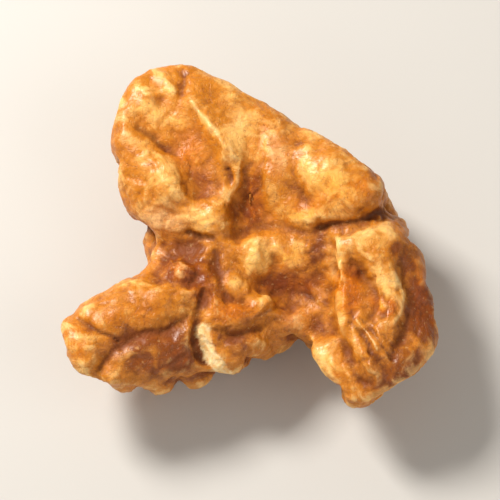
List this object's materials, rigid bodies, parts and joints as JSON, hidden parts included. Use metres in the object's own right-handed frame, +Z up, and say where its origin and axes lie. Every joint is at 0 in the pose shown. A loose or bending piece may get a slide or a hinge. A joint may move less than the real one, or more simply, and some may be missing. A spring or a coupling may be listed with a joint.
{
  "type": "walnut kernel",
  "caption": "Shelled walnut kernel half with rounded lobes, a notch between its wings, a broken wing, and brain-like ribs on its domed side, on which it rests.",
  "frame": {"origin": "centre of the bounding box in X and Y, on the resting plane under the domed side", "axes": "+Z up out of the inner face, +X along the longest side of the bounding box, +Y from the notch towards the upper left lobe's end"},
  "size_m": [0.0268, 0.0254, 0.0104],
  "materials": {
    "skin": "thin oily seed skin, semi-gloss"
  },
  "bodies": {
    "root": {"walnut_kernel": "skin"}
  },
  "joints": []
}
